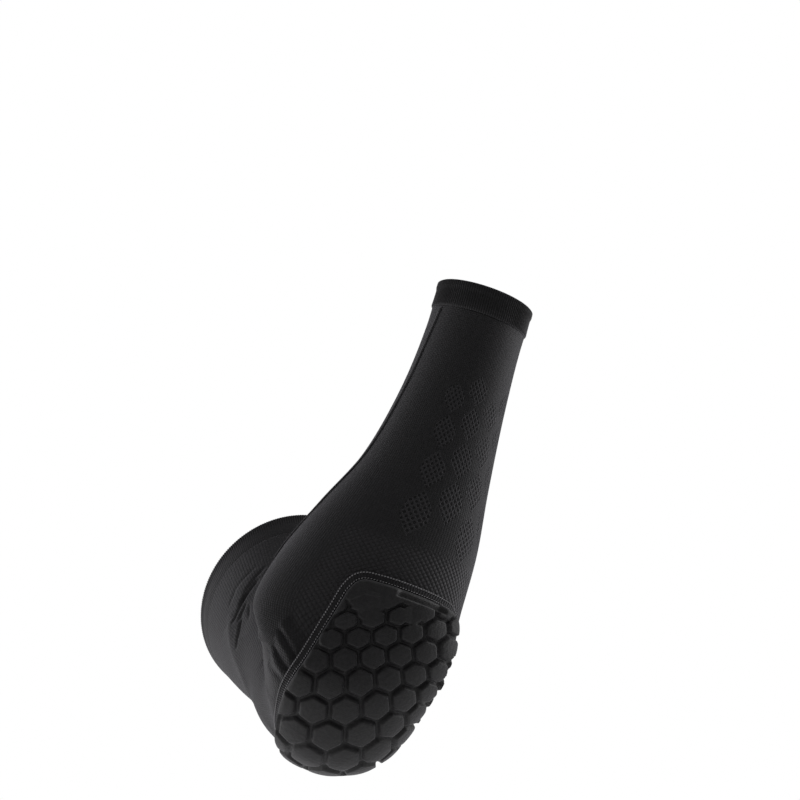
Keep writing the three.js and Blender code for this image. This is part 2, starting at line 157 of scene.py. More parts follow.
# %% Surface of the arm
def section_point(k, angle):
    """Points on the ellipses k at an angle."""
    k = np.clip(k, 0, LAST)
    x = HALF[k] * np.sin(angle)
    d = DEPTH[k] * np.cos(angle)
    across = x * np.cos(TURN[k]) + d * np.sin(TURN[k])
    deep = d * np.cos(TURN[k]) - x * np.sin(TURN[k])
    p = MIDDLE[k] + OUT[k] * deep[..., None]
    p[..., 0] += across
    return p


def weights(f):
    """Catmull-Rom weights of the four neighbours at the share f."""
    return (
        0.5 * (-f + 2 * f**2 - f**3),
        0.5 * (2 - 5 * f**2 + 3 * f**3),
        0.5 * (f + 4 * f**2 - 3 * f**3),
        0.5 * (-(f**2) + f**3),
    )


def plain(t, angle):
    """Points of the smooth form."""
    t, angle = np.broadcast_arrays(np.asarray(t, float), np.asarray(angle, float))
    k = np.clip(np.floor(t).astype(int), 0, LAST - 1)
    return sum(w[..., None] * section_point(k + j - 1, angle) for j, w in enumerate(weights(t - k)))


def directions(t, angle):
    """How the form runs along the arm and round it, in mm per unit of t and of angle."""
    step = 0.001
    low, high = np.clip(t - step, 0, LAST), np.clip(t + step, 0, LAST)
    along = (plain(high, angle) - plain(low, angle)) / (high - low)[..., None]
    return along, (plain(t, angle + step) - plain(t, angle - step)) / (2 * step)


def unit(v):
    return v / np.maximum(np.linalg.norm(v, axis=-1, keepdims=True), 1e-9)


def normal(t, angle):
    """Outward direction of the form."""
    return unit(np.cross(*directions(t, angle)))


# %% [markdown]
# Folds. Tight knit folds where it is pinched in the crook and pulled by the stiff pad.
# A fold is a line laid on the form with a rounded height beside it: a positive height is
# a ridge, a negative one a dent. The first table is in the plain solids too. The second
# holds what only this skin has: the puckers beside the pad, then the creases of the
# crook, then a few soft ridges and dents that round the form off.

# %% Folds
FOLD_WIDTH = 10.0
FOLD_HEIGHT = 2.0
# Columns: section and degrees where it starts, the same where it ends, half width as a
# share of FOLD_WIDTH, height as a share of FOLD_HEIGHT, taper: 4 holds the height nearly
# up to the ends, 2 lets it run out
FOLDS = [
    (12.0, -128, 11.3, -84, 0.9, -1.1, 4),
    (11.8, -84, 10.6, -50, 1.0, 0.8, 4),
    (6.3, -60, 7.2, -62, 0.9, -0.5, 4),
    (7.0, -84, 8.6, -84, 1.0, 0.5, 4),
    (9.2, -95, 10.2, -100, 0.8, -0.5, 4),
]
FINE_FOLDS = [
    (6.33, -49, 6.72, -33, 0.2, 0.8, 4),
    (6.21, -42, 6.5, -29, 0.34, -0.85, 4),
    (6.45, -51, 6.85, -36, 0.14, -0.85, 4),
    (6.58, -55, 6.95, -38, 0.2, 0.75, 4),
    (6.84, -62, 7.09, -42, 0.15, -0.85, 4),
    (7.01, -64, 7.21, -45, 0.25, 0.6, 4),
    (7.31, -69, 7.29, -49, 0.24, -0.5, 4),
    (12.0, -128, 11.3, -84, 0.9, 0.65, 4),
    (12.09, -130, 11.9, -106, 0.11, -0.9, 2),
    (11.96, -122, 11.78, -98, 0.16, -1.6, 2),
    (11.85, -110, 11.66, -86, 0.12, -1.5, 2),
    (12.18, -123, 12.12, -99, 0.14, -0.4, 2),
    (12.12, -104, 12.0, -90, 0.14, -0.3, 2),
    (11.7, -106, 11.56, -90, 0.1, -0.8, 2),
    (11.6, -98, 11.25, -75, 0.12, -1.3, 2),
    (11.64, -107, 11.33, -99, 0.09, -0.5, 2),
    (11.9, -90, 11.36, -70, 0.35, 0.35, 4),
    (11.4, -71, 10.6, -58, 0.35, 0.35, 4),
    (7.1, -88, 8.1, -68, 1.2, -1.1, 4),
    (7.9, -72, 9.3, -38, 1.2, -0.8, 4),
]


def fold_lines(table):
    """Each fold as start point, end point, half width, height and taper."""
    lines = []
    for t0, a0, t1, a1, half, height, taper in table:
        ends = plain([t0, t1], np.radians([a0, a1]))
        lines.append((ends[0], ends[1], half * FOLD_WIDTH, height * FOLD_HEIGHT, taper))
    return lines


def fold_height(points, lines):
    """Height of the folds at points of the plain form."""
    total = np.zeros(points.shape[:-1])
    for start, end, half, height, taper in lines:
        way = end - start
        share = np.clip((points - start) @ way / (way @ way), 0, 1)
        off = np.linalg.norm(points - start - share[..., None] * way, axis=-1)
        fade = np.maximum(1 - np.abs(2 * share - 1) ** taper, 0) ** (2 / taper)
        total += height * fade * np.exp(-((off / half) ** 2))
    return total


MAIN_LINES = fold_lines(FOLDS)
FINE_LINES = fold_lines(FINE_FOLDS)


def cloth(t, angle, lift, extra=0):
    """Points that lie lift mm above the cloth, with its main folds."""
    t, angle = np.broadcast_arrays(np.asarray(t, float), np.asarray(angle, float))
    p = plain(t, angle)
    rise = fold_height(p, MAIN_LINES) + lift + extra
    return p + normal(t, angle) * rise[..., None]


print("folds:", len(FOLDS), "main,", len(FINE_FOLDS), "fine")

# %% [markdown]
# The flat pattern of the pad. A pad is cut flat and sewn on, so it is drawn flat: p runs
# down the arm along the line where the outer side meets the plane x = LINE_X, and q runs
# round the arm from that line. Both are lengths on the cloth, so a cell keeps its size
# where the arm bends.

# %% Pad pattern
PAD_MIDDLE = 7.6
LINE_X = -4.0
PATTERN_STEPS = 401


def zero_angle(t):
    """Angle at which the outer side of section t meets the plane x = LINE_X."""
    low, high = np.full(np.shape(t), -1.3), np.full(np.shape(t), 1.3)
    for _ in range(40):
        middle = (low + high) / 2
        left = plain(t, middle)[..., 0] < LINE_X
        low, high = np.where(left, middle, low), np.where(left, high, middle)
    return low


def ways_along(points):
    """Ways along lines of points, from the first point of each."""
    steps = np.linalg.norm(np.diff(points, axis=-2), axis=-1)
    return np.concatenate([np.zeros(steps.shape[:-1] + (1,)), np.cumsum(steps, -1)], -1)


LINE_T = np.linspace(0, LAST, PATTERN_STEPS)
LINE_WAYS = ways_along(plain(LINE_T, zero_angle(LINE_T)))
LINE_WAYS = LINE_WAYS - np.interp(PAD_MIDDLE, LINE_T, LINE_WAYS)


class Pattern:
    """Turns pattern places (p, q) into places on the sleeve, through a fine table."""

    P = np.arange(-120.0, 90.0, 2.5)
    TURNS = np.linspace(-2.3, 2.3, 231)

    def __init__(self):
        self.t = np.interp(self.P, LINE_WAYS, LINE_T)
        self.turns = zero_angle(self.t)[:, None] + self.TURNS
        ways = ways_along(plain(self.t[:, None], self.turns))
        self.q = ways - ways[:, len(self.TURNS) // 2, None]

    def lift(self, plan, height):
        """Points at a height over the cloth, from rows of pattern places."""
        p, q, height = np.broadcast_arrays(*plan.T, height)
        f = np.clip((p - self.P[0]) / (self.P[1] - self.P[0]), 0, len(self.P) - 1.001)
        k = f.astype(int)
        angle = np.zeros(p.shape)
        t = np.zeros(p.shape)
        for j, w in enumerate(weights(f - k)):
            row = np.clip(k + j - 1, 0, len(self.P) - 1)
            t += w * self.t[row]
            turn = np.empty(p.shape)
            for r in np.unique(row):
                here = row == r
                turn[here] = np.interp(q[here], self.q[r], self.turns[r])
            angle += w * turn
        return cloth(t, angle, height)


pattern = Pattern()
print("pattern rows:", len(pattern.P))

# %% [markdown]
# The outline of the pad is a table too: how far it reaches to the left and to the right
# at each way down the arm. A closed smooth curve goes through those points. The same
# outline, moved out by a margin, gives the sewn band its two edges, so pad and band fit
# whatever the pad's size is.

# %% Outline of the pad
PAD_LENGTH = 143.0
PAD_WIDTH = 90.0
# Columns: way along the arm as a share of the length, reach to the left and to the
# right as shares of the width
PAD_OUTLINE = [
    (-0.65, 0.156, 0.289),
    (-0.636, 0.278, 0.4),
    (-0.587, 0.333, 0.456),
    (-0.462, 0.372, 0.478),
    (-0.322, 0.422, 0.5),
    (-0.182, 0.478, 0.522),
    (-0.056, 0.478, 0.511),
    (0.084, 0.411, 0.456),
    (0.196, 0.322, 0.378),
    (0.294, 0.2, 0.267),
    (0.35, 0.078, 0.133),
]
CURVE_STEPS = 24
OUTLINE_STEPS = 200
# Each step of the curve blends neighbours between these two of its four knots
KNOT_SPANS = (((0, 1), (1, 2), (2, 3)), ((0, 2), (1, 3)), ((1, 2),))


def closed_curve(points, count):
    """Centripetal Catmull-Rom curve through a loop of points, as close points on it."""
    n = len(points)
    out = []
    for k in range(n):
        p = [points[(k + j - 1) % n] for j in range(4)]
        knots = np.cumsum([0] + [np.linalg.norm(p[j + 1] - p[j]) ** 0.5 for j in range(3)])
        for s in np.linspace(knots[1], knots[2], count, endpoint=False):
            level = p
            for spans in KNOT_SPANS:
                level = [
                    (a * (knots[j] - s) + b * (s - knots[i])) / (knots[j] - knots[i])
                    for (i, j), a, b in zip(spans, level, level[1:])
                ]
            out.append(level[0])
    return np.array(out)


def hull(points):
    """Convex outline, going round with the area on the left."""
    order = points[np.lexsort((points[:, 1], points[:, 0]))]

    def side(rows):
        out = []
        for p in rows:
            while len(out) > 1 and np.cross(out[-1] - out[-2], p - out[-2]) <= 0:
                out.pop()
            out.append(p)
        return out[:-1]

    return np.array(side(order) + side(order[::-1]))


def even_loop(points, count):
    """The same number of points, evenly spaced round a loop."""
    closed = np.vstack([points, points[:1]])
    ways = ways_along(closed)
    marks = np.linspace(0, ways[-1], count, endpoint=False)
    return np.stack([np.interp(marks, ways, closed[:, i]) for i in range(2)], 1)


TABLE = np.array(PAD_OUTLINE)
LEFT_SIDE = np.stack([TABLE[:, 0] * PAD_LENGTH, -TABLE[:, 1] * PAD_WIDTH], 1)
RIGHT_SIDE = np.stack([TABLE[:, 0] * PAD_LENGTH, TABLE[:, 2] * PAD_WIDTH], 1)
OUTLINE = hull(closed_curve(list(LEFT_SIDE) + list(RIGHT_SIDE[::-1]), CURVE_STEPS))


def pad_outline(count, margin):
    """Outline moved out by a margin, as evenly spaced points."""
    along = unit(np.roll(OUTLINE, -1, 0) - np.roll(OUTLINE, 1, 0))
    return even_loop(OUTLINE + np.stack([along[:, 1], -along[:, 0]], 1) * margin, count)


def depth_inside(p, q):
    """How far inside the outline a pattern place is; less than nothing outside it."""
    loop = even_loop(OUTLINE, OUTLINE_STEPS)
    best = np.full(np.shape(p), 1e9)
    sign = np.full(np.shape(p), 1e9)
    for a, b in zip(loop, np.roll(loop, -1, 0)):
        d = b - a
        share = np.clip(((p - a[0]) * d[0] + (q - a[1]) * d[1]) / (d @ d), 0, 1)
        best = np.minimum(best, np.hypot(p - a[0] - share * d[0], q - a[1] - share * d[1]))
        sign = np.minimum(sign, (d[0] * (q - a[1]) - d[1] * (p - a[0])) / np.hypot(*d))
    return np.where(sign >= 0, best, -best)


print("pad:", [round(float(v)) for v in np.ptp(OUTLINE, axis=0)], "mm on its pattern")

# %% [markdown]
# Meshes. Every piece is one closed mesh. A grid of rows and columns is the natural form
# of cloth, and each corner of each face also gets its place on the cloth in millimetres.
# That second set of coordinates is what the knit in the material follows, so the ribs
# and rows bend with the sleeve as real ones do.


# %% Mesh helpers
def new_object(name, data):
    """Object with this data, linked to the scene."""
    made = bpy.data.objects.new(name, data)
    bpy.context.scene.collection.objects.link(made)
    return made


def make_piece(name, points, faces, places, node, finish):
    """One smooth object in metres that stands for a solid of the frame."""
    mesh = bpy.data.meshes.new(name)
    mesh.from_pydata((points * MM).tolist(), [], faces)
    mesh.polygons.foreach_set("use_smooth", [True] * len(mesh.polygons))
    layer = mesh.uv_layers.new(name="cloth")
    layer.uv.foreach_set("vector", np.asarray(places, np.float32).ravel())
    mesh.materials.append(finish)
    mesh.validate()
    mesh.update()
    piece = new_object(name, mesh)
    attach(piece, "root")
    if node:
        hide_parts(node)
    print(name, "has", len(mesh.vertices), "points and", len(mesh.polygons), "faces")
    return piece


def tube_faces(rings, around):
    """Faces between rings of points that close on themselves, and their grid places."""
    r, i = np.meshgrid(np.arange(rings), np.arange(around), indexing="ij")
    nxt, j = (r + 1) % rings, (i + 1) % around
    faces = np.stack([r * around + i, nxt * around + i, nxt * around + j, r * around + j], -1)
    rows = np.stack([r, r + 1, r + 1, r], -1)
    columns = np.stack([i, i, i + 1, i + 1], -1)
    return faces.reshape(-1, 4).tolist(), rows.reshape(-1), columns.reshape(-1)


def tube_layer(t_rows, angle, lift, folds=None):
    """Points of one layer of a tube, row by row, with more folds if they are given."""
    t, a = np.meshgrid(t_rows, angle, indexing="ij")
    return cloth(t, a, lift, folds(t, a) if folds else 0).reshape(-1, 3)


# %% [markdown]
# Places on the cloth. A tubular knit has the same number of stitches all the way down, so
# the place round the arm is an angle turned into mm at one width. The place along the arm
# is the mean way along it.

# %% Places on the cloth
CLOTH_ROUND = 240.0
WAY_STEP = 0.25
TURN_STEPS = 1441
MEAN_ANGLES = np.radians(np.arange(0, 360, 15))
MEAN_WAYS = ways_along(np.swapaxes(plain(LINE_T[:, None], MEAN_ANGLES), 0, 1)).mean(0)


def cloth_places(t_rows, rows, columns, angles):
    """Place in mm of each face corner: round the arm and along it."""
    t_loop = np.append(t_rows, t_rows[0])
    turns = np.append(angles, angles[0] + 2 * math.pi)[columns].reshape(-1, 4)
    turns = turns - 2 * math.pi * (turns.min(1, keepdims=True) >= math.pi)
    u = turns.ravel() / (2 * math.pi) * CLOTH_ROUND
    return np.stack([u, np.interp(t_loop[rows], LINE_T, MEAN_WAYS)], 1)


def rows_every(step, t0, t1, close=()):
    """Section numbers a step apart in mm from t0 to t1, closer together where it is named."""
    ways = np.arange(*np.interp([t0, t1], LINE_T, MEAN_WAYS), WAY_STEP)
    t = np.interp(ways, MEAN_WAYS, LINE_T)
    density = np.ones(len(t))
    for low, high, more in close:
        density += more * ((t > low) & (t < high))
    counts = np.cumsum(density)
    count = max(2, round(float(counts[-1]) * WAY_STEP / step) + 1)
    inner = np.interp(np.linspace(counts[0], counts[-1], count), counts, t)
    return np.concatenate([[t0], inner[1:-1], [t1]])


def angles_round(count, middle, half, more):
    """Angles from 0 to a full turn, closer together near a middle angle."""
    fine = np.linspace(0, 2 * math.pi, TURN_STEPS)
    off = (fine[1:] - middle + math.pi) % (2 * math.pi) - math.pi
    density = 1 + more * np.exp(-((off / half) ** 4))
    counts = np.append(0, np.cumsum(density * np.diff(fine)))
    return np.interp(np.linspace(0, counts[-1], count, endpoint=False), counts, fine)


def wrist_at(way):
    """Section number at a way in mm from the wrist rim."""
    return way / ((FOREARM[0][0] - FOREARM[1][0]) * FOREARM_LENGTH)


def upper_at(way):
    """Section number at a way in mm from the upper rim."""
    return LAST - way / ((UPPER_ARM[3][0] - UPPER_ARM[2][0]) * UPPER_LENGTH)


print("mean length along the sleeve:", round(float(MEAN_WAYS[-1])), "mm")

# %% [markdown]
# Finishes. Black knit is hard to draw, because nearly all that the eye reads is sheen on
# small relief. So each finish is relief first: stitches, ribs or holes worked out from
# the place on the cloth, fed to a Bump node, with a little of the same pattern in the
# colour as painted highlight on its raised parts and painted shade in its hollows. The
# first class below lets that be written as plain sums. The second holds one material,
# and every finish ends by calling its dress method with a tone, a roughness and a relief.


# %% Shader maths
BLACK = (0.0035, 0.0033, 0.0037)
GREY = (0.027, 0.0255, 0.028)


def math_method(operation):
    """Method of Value that adds one Math node."""

    def method(self, *others):
        return self.finish.node("ShaderNodeMath", {"operation": operation}, [self, *others])

    return method


class Value:
    """A socket of a material's nodes. Sums and products of it add Math nodes."""

    def __init__(self, finish, socket):
        self.finish = finish
        self.socket = socket

    __add__ = __radd__ = math_method("ADD")
    __sub__ = math_method("SUBTRACT")
    __mul__ = __rmul__ = math_method("MULTIPLY")
    __truediv__ = math_method("DIVIDE")
    sin, cos = math_method("SINE"), math_method("COSINE")
    abs, whole = math_method("ABSOLUTE"), math_method("ROUND")
    least, most = math_method("MINIMUM"), math_method("MAXIMUM")

    def __rsub__(self, other):
        return self.finish.node("ShaderNodeMath", {"operation": "SUBTRACT"}, [other, self])

    def rest(self):
        """What is left over the nearest whole number, from -0.5 to 0.5."""
        return self - self.whole()

    def within(self, low, high, soft):
        """1 from low to high, 0 outside, with soft borders."""
        return self.ramp(low - soft, low + soft) * (1 - self.ramp(high - soft, high + soft))

    def ramp(self, low, high):
        """0 below low, 1 above high, and smooth between them."""
        settings = {"interpolation_type": "SMOOTHSTEP"}
        return self.finish.node("ShaderNodeMapRange", settings, [self, low, high, 0.0, 1.0])


class Finish:
    """A material with one Principled shader, and the one method that adds nodes to it."""

    def __init__(self, name, shader):
        self.material = bpy.data.materials.new(name)
        self.material.use_nodes = True
        self.tree = self.material.node_tree
        self.shader = self.tree.nodes["Principled BSDF"]
        for socket, value in shader.items():
            self.shader.inputs[socket].default_value = value

    def node(self, kind, settings, inputs, output=0):
        """Adds a node, sets it up, fills its sockets by number or name, and returns a Value."""
        made = self.tree.nodes.new(kind)
        for key, value in settings.items():
            setattr(made, key, value)
        pairs = inputs.items() if isinstance(inputs, dict) else enumerate(inputs)
        for key, value in pairs:
            if isinstance(value, Value):
                self.tree.links.new(value.socket, made.inputs[key])
            else:
                made.inputs[key].default_value = value
        return Value(self, made.outputs[output])

    def drive(self, socket, value):
        """Lets a Value drive a socket of the shader."""
        self.tree.links.new(value.socket, self.shader.inputs[socket])

    def dress(self, tone, rough, relief, strength, depth, colours=(BLACK, GREY)):
        """Colours by the tone, gloss by rough, relief up to depth mm; gives the material."""
        settings = {"data_type": "RGBA"}
        low, high = colours
        share = tone.most(0).least(1)
        inputs = {0: share, 6: (*low, 1), 7: (*high, 1)}
        self.drive("Base Color", self.node("ShaderNodeMix", settings, inputs, 2))
        if rough is not None:
            self.drive("Roughness", rough)
        inputs = {"Strength": strength, "Distance": depth * MM, "Height": relief}
        self.drive("Normal", self.node("ShaderNodeBump", {}, inputs))
        return self.material

    def place(self):
        """Place on the cloth in mm: round it, and along it."""
        spot = self.node("ShaderNodeUVMap", {"uv_map": "cloth"}, [])
        return [self.node("ShaderNodeSeparateXYZ", {}, [spot], axis) for axis in range(2)]

    def cloud(self, size, detail=2.0):
        """Soft random patches about this many mm across, near 0.5."""
        spot = self.node("ShaderNodeTexCoord", {}, [], "Object")
        return self.node(
            "ShaderNodeTexNoise", {}, {"Vector": spot, "Scale": 1 / (size * MM), "Detail": detail}
        )


print("shader helpers ready")

# %% [markdown]
# The plain knit. A jersey stitch shows as a small V: a column of them is a wale and a row
# is a course. The V comes from a wave along the cloth that is shifted by the distance
# from the middle of the wale.

# %% Knit relief
RIB_PITCH = 1.5
WALE = 1.4
COURSE = 1.15
STITCH_PITCH = 1.75


def knit(u, v, wale=WALE, course=COURSE):
    """Height of the stitches, from 0 to 1."""
    across = (u / wale).rest().abs() * 2
    rows = ((v / course + across * 0.5) * (2 * math.pi)).cos() * 0.5 + 0.5
    return (1 - across * across) * 0.55 + rows * 0.45


# %% [markdown]
# Mesh windows. On the outer side of the forearm the knit opens into slanted rows of
# lozenges full of small holes, so that the arm can breathe. They repeat, so the place on
# the cloth is turned into a column and a row number, and what is left over the nearest
# whole number is the place inside one lozenge. The cloth is pulled wider toward the
# elbow, so both numbers are slight curves and not straight lines of the place.

# %% Mesh windows
# Columns: number at the start of the cloth, growth per mm round it, growth per mm along
# it, growth per square mm along it
WINDOW_COLUMN = (0.095, 0.0642, -0.0008, 0.0)
WINDOW_ROW = (-4.018, 0.0283, 0.0674, -0.000128)
WINDOW_SLANT = 0.44
WINDOW_HALF = (0.66, 0.49)
# Where the lozenge's border starts and ends, as shares of its half size
WINDOW_BORDER = (0.94, 1.0)
# How far a lozenge goes to the sides, and how softly it is cut off there
WINDOW_CUT = (0.44, 0.02)
# First and last column and row that have lozenges, and how softly they end
WINDOW_COLUMNS = (-0.5, 5.5, 0.05)
WINDOW_ROWS = (-0.6, 3.3, 0.05)
# Way along the arm where all of them end. Farther on the row number falls again, and the
# same rows would come back on the upper arm.
WINDOW_END = (185.0, 195.0)
HOLE_STEP = (1.6, 2.1)
HOLE_BORDER = (0.3, 0.7)


def grid_number(u, v, row):
    """Column or row number of a place on the cloth."""
    start, by_u, by_v, by_vv = row
    return start + u * by_u + v * (by_v + v * by_vv)


def windows(u, v):
    """Share of open mesh: 1 inside the lozenges, and the holes in it."""
    column, row = grid_number(u, v, WINDOW_COLUMN), grid_number(u, v, WINDOW_ROW)
    across, along = column.rest(), row.rest()
    level = (row - along) - (column - across) * WINDOW_SLANT
    off = across.abs() / WINDOW_HALF[0] + (along - across * WINDOW_SLANT).abs() / WINDOW_HALF[1]
    cut, soft = WINDOW_CUT
    field = (1 - off.ramp(*WINDOW_BORDER)) * (1 - across.abs().ramp(cut - soft, cut + soft))
    field = field * column.within(*WINDOW_COLUMNS) * level.within(*WINDOW_ROWS)
    field = field * (1 - v.ramp(*WINDOW_END))
    x, y = u / HOLE_STEP[0], v / HOLE_STEP[1]
    holes = ((x + y) * (math.pi / 2)).cos().abs() * ((x - y) * (math.pi / 2)).cos().abs()
    return field, field * holes.ramp(*HOLE_BORDER)


# %% [markdown]
# Below the windows, toward the pad, the knit is a pique: staggered rows of small raised
# lentils. They fade out before the crook and before the upper arm.

# %% Pique relief
# Step of the lentils round the arm and along it, and where their field comes in and ends
PIQUE = (2.82, 1.61)
PIQUE_ALONG = (158.0, 168.0, 226.0, 240.0)
PIQUE_ROUND = (-30.0, -20.0, 74.0, 84.0)


def pique(u, v):
    """Height of the lentils, and the share of the cloth that has them."""
    x, y = u / PIQUE[0], v / PIQUE[1]
    bumps = ((x + y * 0.5) * math.pi).sin().abs() * ((x - y * 0.5) * math.pi).sin().abs()
    along = v.ramp(*PIQUE_ALONG[:2]) * (1 - v.ramp(*PIQUE_ALONG[2:]))
    return bumps, along * u.ramp(*PIQUE_ROUND[:2]) * (1 - u.ramp(*PIQUE_ROUND[2:]))


# %% [markdown]
# The five finishes. In each, tone runs from 0, black, to 1, grey. Clouds are soft random
# patches that keep the cloth from looking printed, and grain is the same at the size of
# one stitch. The shares in the sums say how much each pattern adds.

# %% Finishes
# Size in mm and detail of the grain
GRAIN = (1.6, 3.0)
PAD_GRAIN = (1.9, 3.0)
# Painted sheen: the thread is black, and these two greys stand in for its glints
THREAD_PAINTED_SHEEN = ((0.22, 0.215, 0.225), (0.42, 0.41, 0.43))
# On the wrist band, in mm from the rim: where its painted shade ends, and its last line,
# a painted highlight
WRIST_PAINTED_SHADE_END = (10, 13)
WRIST_PAINTED_HIGHLIGHT = (15.6, 17.6, 0.4)
# Any way between the two bands tells them apart
BETWEEN_BANDS = (60, 61)
# Shares of the upper band's height where its ribs have run out and where they are full
RIBS_RUN_OUT = (0.7, 0.3)


def cloth_shader(specular, sheen, sheen_roughness):
    """Settings the cloths share: how glossy they are, and how their fuzz catches light."""
    return {
        "Specular IOR Level": specular,
        "Sheen Weight": sheen,
        "Sheen Roughness": sheen_roughness,
        "Sheen Tint": (0.86, 0.84, 0.9, 1),
    }


def body_knit():
    """Charcoal knit with mesh windows and a field of pique."""
    made = Finish("body_knit", cloth_shader(0.35, 0.35, 0.45))
    u, v = made.place()
    stitches = knit(u, v)
    open_share, holes = windows(u, v)
    lentils, lentil_share = pique(u, v)
    lentil_share = lentil_share * (1 - open_share)
    relief = stitches * (1 - lentil_share) * 0.4 + lentils * lentil_share * 0.8
    relief = relief + open_share * 0.4 - holes
    cloud, grain = made.cloud(14), made.cloud(*GRAIN)
    # Painted highlight and shade: the raised parts of the stitches and of the lentils are painted
    # lighter than their hollows.
    tone = stitches * 0.4 + cloud * 0.4 + grain * 0.8 + lentils * lentil_share * 0.6
    # Painted highlight and shade: the raised lattice of the lozenges is painted lighter, and its
    # holes near black, as painted shade inside them.
    tone = tone + open_share * 0.6 - holes * 2.4 - 0.5
    return made.dress(tone, 0.66 + cloud * 0.16 + holes * 0.2, relief + grain * 0.5, 1.0, 0.7)


def rib_knit():
    """Denser knit of the two ribbed bands. The ribs themselves are in the mesh."""
    made = Finish("rib_knit", cloth_shader(0.35, 0.35, 0.4))
    u, v = made.place()
    crown = (u * (2 * math.pi / RIB_PITCH)).cos() * 0.5 + 0.5
    stitches = knit(u, v)
    cloud, grain = made.cloud(10), made.cloud(*GRAIN)
    upper = v.ramp(*BETWEEN_BANDS)
    ribbed = (1 - upper) + upper * v.ramp(*[MEAN_WAYS[-1] - UPPER_BAND * x for x in RIBS_RUN_OUT])
    # Painted shade: the wrist band has half its tone from the rim to where the painted shade ends;
    # the upper band gets none.
    painted_shade = 0.5 + (v.ramp(*WRIST_PAINTED_SHADE_END) + upper).least(1) * 0.5
    # Painted highlight and shade: the crowns of the ribs are painted lighter than the grooves
    # between them, and so are the raised parts of the stitches where the ribs have run out.
    tone = crown * ribbed * 0.9 + (1 - ribbed) * 0.25 + stitches * (1 - ribbed) * 0.3
    tone = tone + cloud * 0.2 + grain * 0.6 - 0.4
    # A painted highlight: a light line near the wrist band's end, where it steps down to the body.
    tone = tone * painted_shade + v.within(*WRIST_PAINTED_HIGHLIGHT) * 0.5
    relief = stitches * (1 - ribbed) * 0.4 + grain * 0.5
    return made.dress(tone, 0.66 + cloud * 0.15, relief, 1.0, 0.6)


def pad_cloth():
    """Smooth close knit that is moulded over the foam cells."""
    made = Finish("pad_cloth", cloth_shader(0.45, 0.3, 0.35))
    stitches = knit(*made.place(), 1.0, 0.9)
    grain, cloud = made.cloud(*PAD_GRAIN), made.cloud(12)
    # Painted highlight and shade: the raised parts of the stitches are painted lighter than their
    # hollows.
    tone = stitches * 0.2 + cloud * 0.5 + grain * 0.9 - 0.4
    return made.dress(tone, 0.5 + cloud * 0.2, stitches * 0.25 + grain, 0.8, 0.4)


def seam_tape(name, light):
    """Flat sewn seam: the looper threads cross it side by side."""
    made = Finish(name, cloth_shader(0.35, 0.4, 0.45))
    threads = (made.place()[1] * (2 * math.pi / STITCH_PITCH)).sin() * 0.5 + 0.5
    grain, cloud = made.cloud(*GRAIN), made.cloud(14)
    # Painted highlight and shade: the threads are painted lighter where they are raised. The light
    # value lifts the tone of the whole seam, as painted light.
    tone = threads * 0.3 + cloud * 0.3 + grain * 0.9 + light
    return made.dress(tone, 0.66 + grain * 0.15, threads * 0.4 + grain * 0.6, 1.0, 0.7)


def thread():
    """Polyester thread of the stitches, glossier than the cloth. Its grey colour is painted sheen.
    """
    made = Finish("thread", {"Roughness": 0.38, "Specular IOR Level": 0.6})
    u, v = made.place()
    twist = ((v * 2 + u) * (2 * math.pi)).sin() * 0.5 + 0.5
    # The twist is relief and painted highlight at once: its raised turns are lighter.
    return made.dress(twist, None, twist, 0.4, 0.06, THREAD_PAINTED_SHEEN)


BODY_KNIT, RIB_KNIT, PAD_CLOTH, THREAD = body_knit(), rib_knit(), pad_cloth(), thread()
# Painted light: both seams are painted lighter than the body's knit, and the line down the forearm
# most.
SEAM_TAPE, SEAM_LINE_PAINTED_LIGHT = seam_tape("seam_tape", -0.1), seam_tape("seam_line", 0.3)
print("finishes:", [m.name for m in bpy.data.materials])

# %% [markdown]
# The sleeve body is a tube with two layers, outside and inside, joined at both ends. The
# outer layer is fine enough to carry the puckers, and its rows and columns are closer
# together where they are. Under the pad and its band the fine ridges are pressed flat,
# because the foam holds the cloth there.

# %% Sleeve body
HALF_TURN_STEPS = 180
AROUND = 236
OUTER_STEP = 1.75
INNER_STEP = 10.0
# One more row lies this near each rim, so that smooth shading can't spread the rim's bend
RIM_ROW = 0.25
# Distances from the pad between which a ridge of the fine folds rises to its height
BAND_ROOM = (6.0, 8.5)
# Where the mesh is closer: first section, last section, and how much closer
CLOSE_ROWS = [(6.1, 7.5, 1.2), (11.1, 12.3, 1.6)]
# The same round the arm: middle in degrees, half width in degrees, and how much closer
CLOSE_ANGLES = (-80, 50, 0.9)


def pattern_places(t, angle):
    """Pattern places (p, q) of a grid of places on the sleeve."""
    p = np.interp(t, LINE_T, LINE_WAYS)
    q = np.empty(angle.shape)
    turns = np.linspace(-math.pi, math.pi, HALF_TURN_STEPS * 2 + 1)
    for k, row in enumerate(t[:, 0]):
        zero = zero_angle(np.array(row))
        ways = ways_along(plain(row, zero + turns))
        off = (angle[k] - zero + math.pi) % (2 * math.pi) - math.pi
        q[k] = np.interp(off, turns, ways - ways[HALF_TURN_STEPS])
    return p, q


def fine_rise(t, angle):
    """Fine folds; their ridges are pressed flat under the pad and its band."""
    rise = fold_height(plain(t, angle), FINE_LINES)
    free = np.interp(-depth_inside(*pattern_places(t, angle)), BAND_ROOM, (0, 1))
    return np.where(rise > 0, rise * free, rise)


